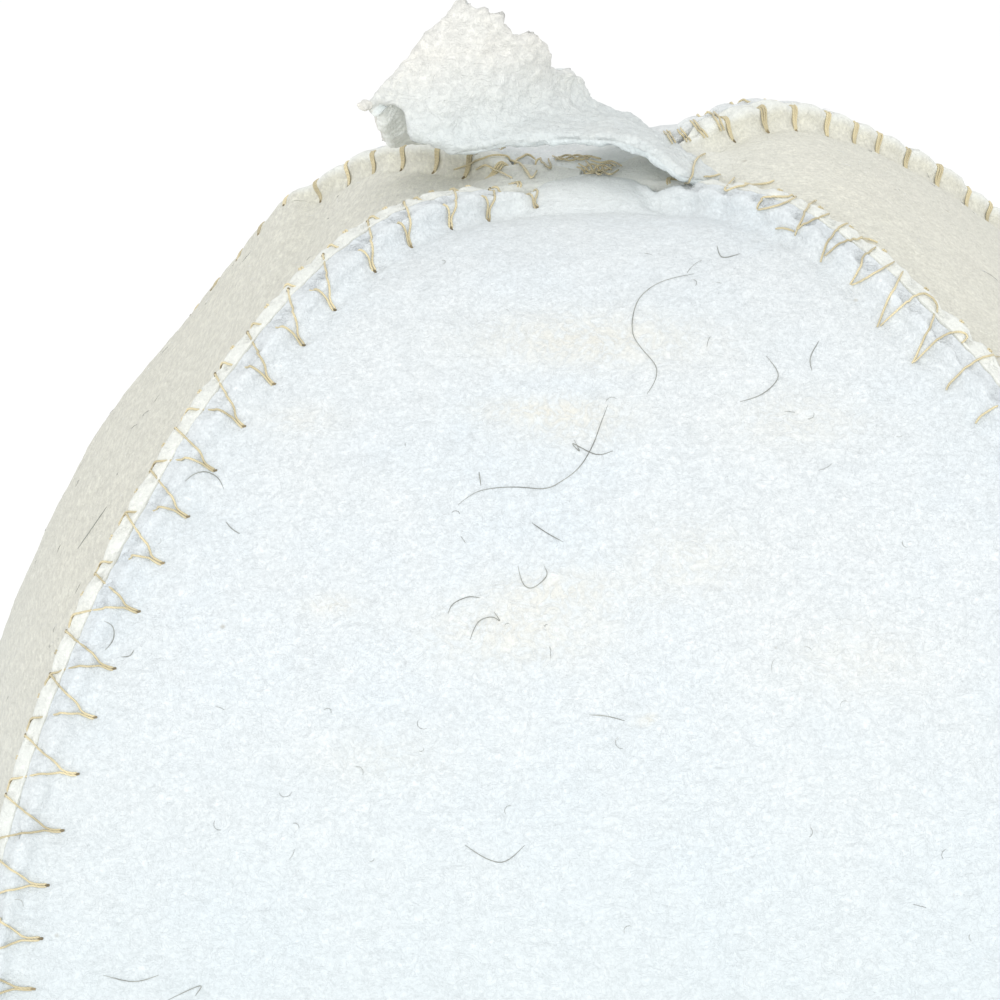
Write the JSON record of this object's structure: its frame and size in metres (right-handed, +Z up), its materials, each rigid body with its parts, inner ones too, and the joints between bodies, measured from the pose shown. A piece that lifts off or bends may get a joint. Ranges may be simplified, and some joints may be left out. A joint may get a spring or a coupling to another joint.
{
  "type": "sauna hat",
  "caption": "Tall bell of thick wool felt in gores sewn edge to edge with raised seams, pressed in at the top, with a felt hanging loop flopped over beside the apex.",
  "frame": {"origin": "middle of the hem's opening, on the plane that the hat stands on", "axes": "+Z up through the crown, -Y out of the front gore, +X to the viewer's right; the hanging loop flops towards -X"},
  "size_m": [0.183, 0.183, 0.2242],
  "materials": {
    "white_felt": "matt natural white wool felt, short fuzz, scattered dark kemp hairs",
    "natural_felt": "matt warm off-white wool felt with pale flecks",
    "loop_felt": "matt cream felt strip, coarse and pilled, with one ragged edge",
    "sewing_thread": "satin tan sewing thread",
    "kemp_hair": "dark coarse wool hairs in the felt"
  },
  "bodies": {
    "root": {"front_gore": "white_felt", "right_gore": "natural_felt", "back_gore": "white_felt", "left_gore": "natural_felt", "hanging_loop": "loop_felt"}
  },
  "joints": []
}
